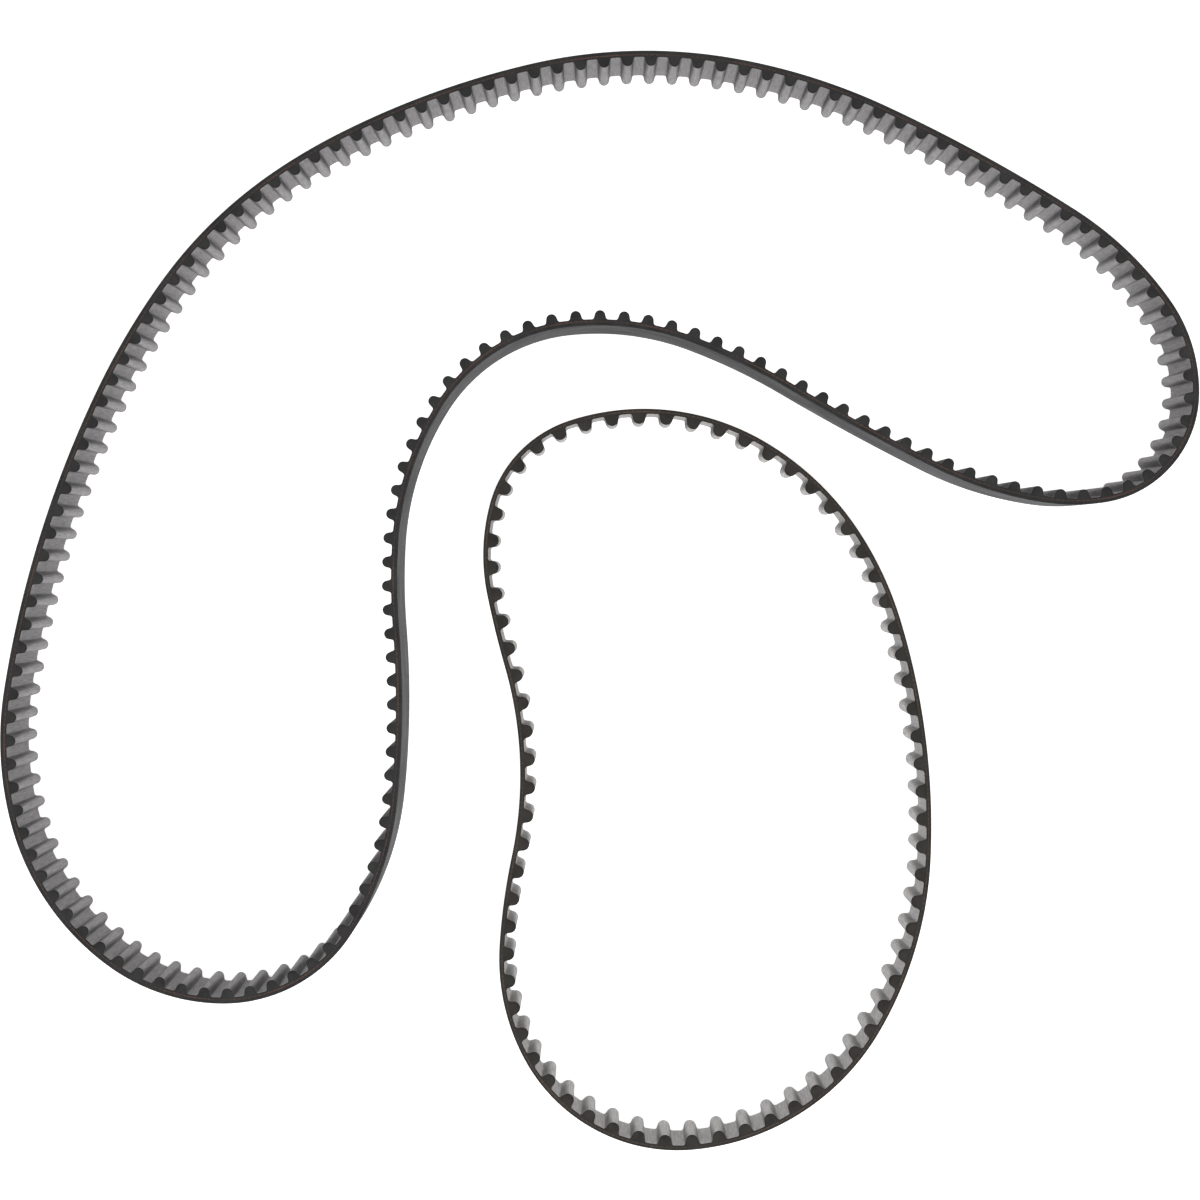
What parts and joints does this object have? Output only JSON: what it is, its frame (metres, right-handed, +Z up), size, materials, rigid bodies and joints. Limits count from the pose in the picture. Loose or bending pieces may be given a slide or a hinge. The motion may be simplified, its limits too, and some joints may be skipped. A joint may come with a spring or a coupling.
{
  "type": "timing belt",
  "caption": "Pair of endless toothed rubber timing belts standing on their cut edges: a large boomerang-shaped loop and a smaller bean-shaped loop in its bay.",
  "frame": {"origin": "centre of the pair's footprint, on the surface that the belts stand on", "axes": "+Z up along the belts' width, +X towards the large belt's right lobe, +Y towards the large belt's long outer run"},
  "size_m": [0.4036, 0.3728, 0.028],
  "materials": {
    "large_backing": "smooth matt dark grey",
    "large_cord_winding": "red-brown treated glass cord",
    "large_cushion": "matt near-black",
    "large_teeth": "matt near-black",
    "large_facing": "woven mid-grey, slightly worn",
    "small_backing": "smooth matt brownish grey",
    "small_cord_winding": "red-brown treated glass cord",
    "small_cushion": "matt near-black",
    "small_teeth": "matt near-black",
    "small_facing": "woven light grey, slightly worn"
  },
  "bodies": {
    "large_belt": {"large_backing": "large_backing", "large_cord_winding": "large_cord_winding", "large_cushion": "large_cushion", "large_teeth": "large_teeth", "large_facing": "large_facing"},
    "small_belt": {"small_backing": "small_backing", "small_cord_winding": "small_cord_winding", "small_cushion": "small_cushion", "small_teeth": "small_teeth", "small_facing": "small_facing"}
  },
  "joints": [
    {"name": "small_belt_lift", "type": "slide", "parent": "large_belt", "child": "small_belt", "axis": [0, 0, 1], "range_m": [0, 0.045]}
  ]
}
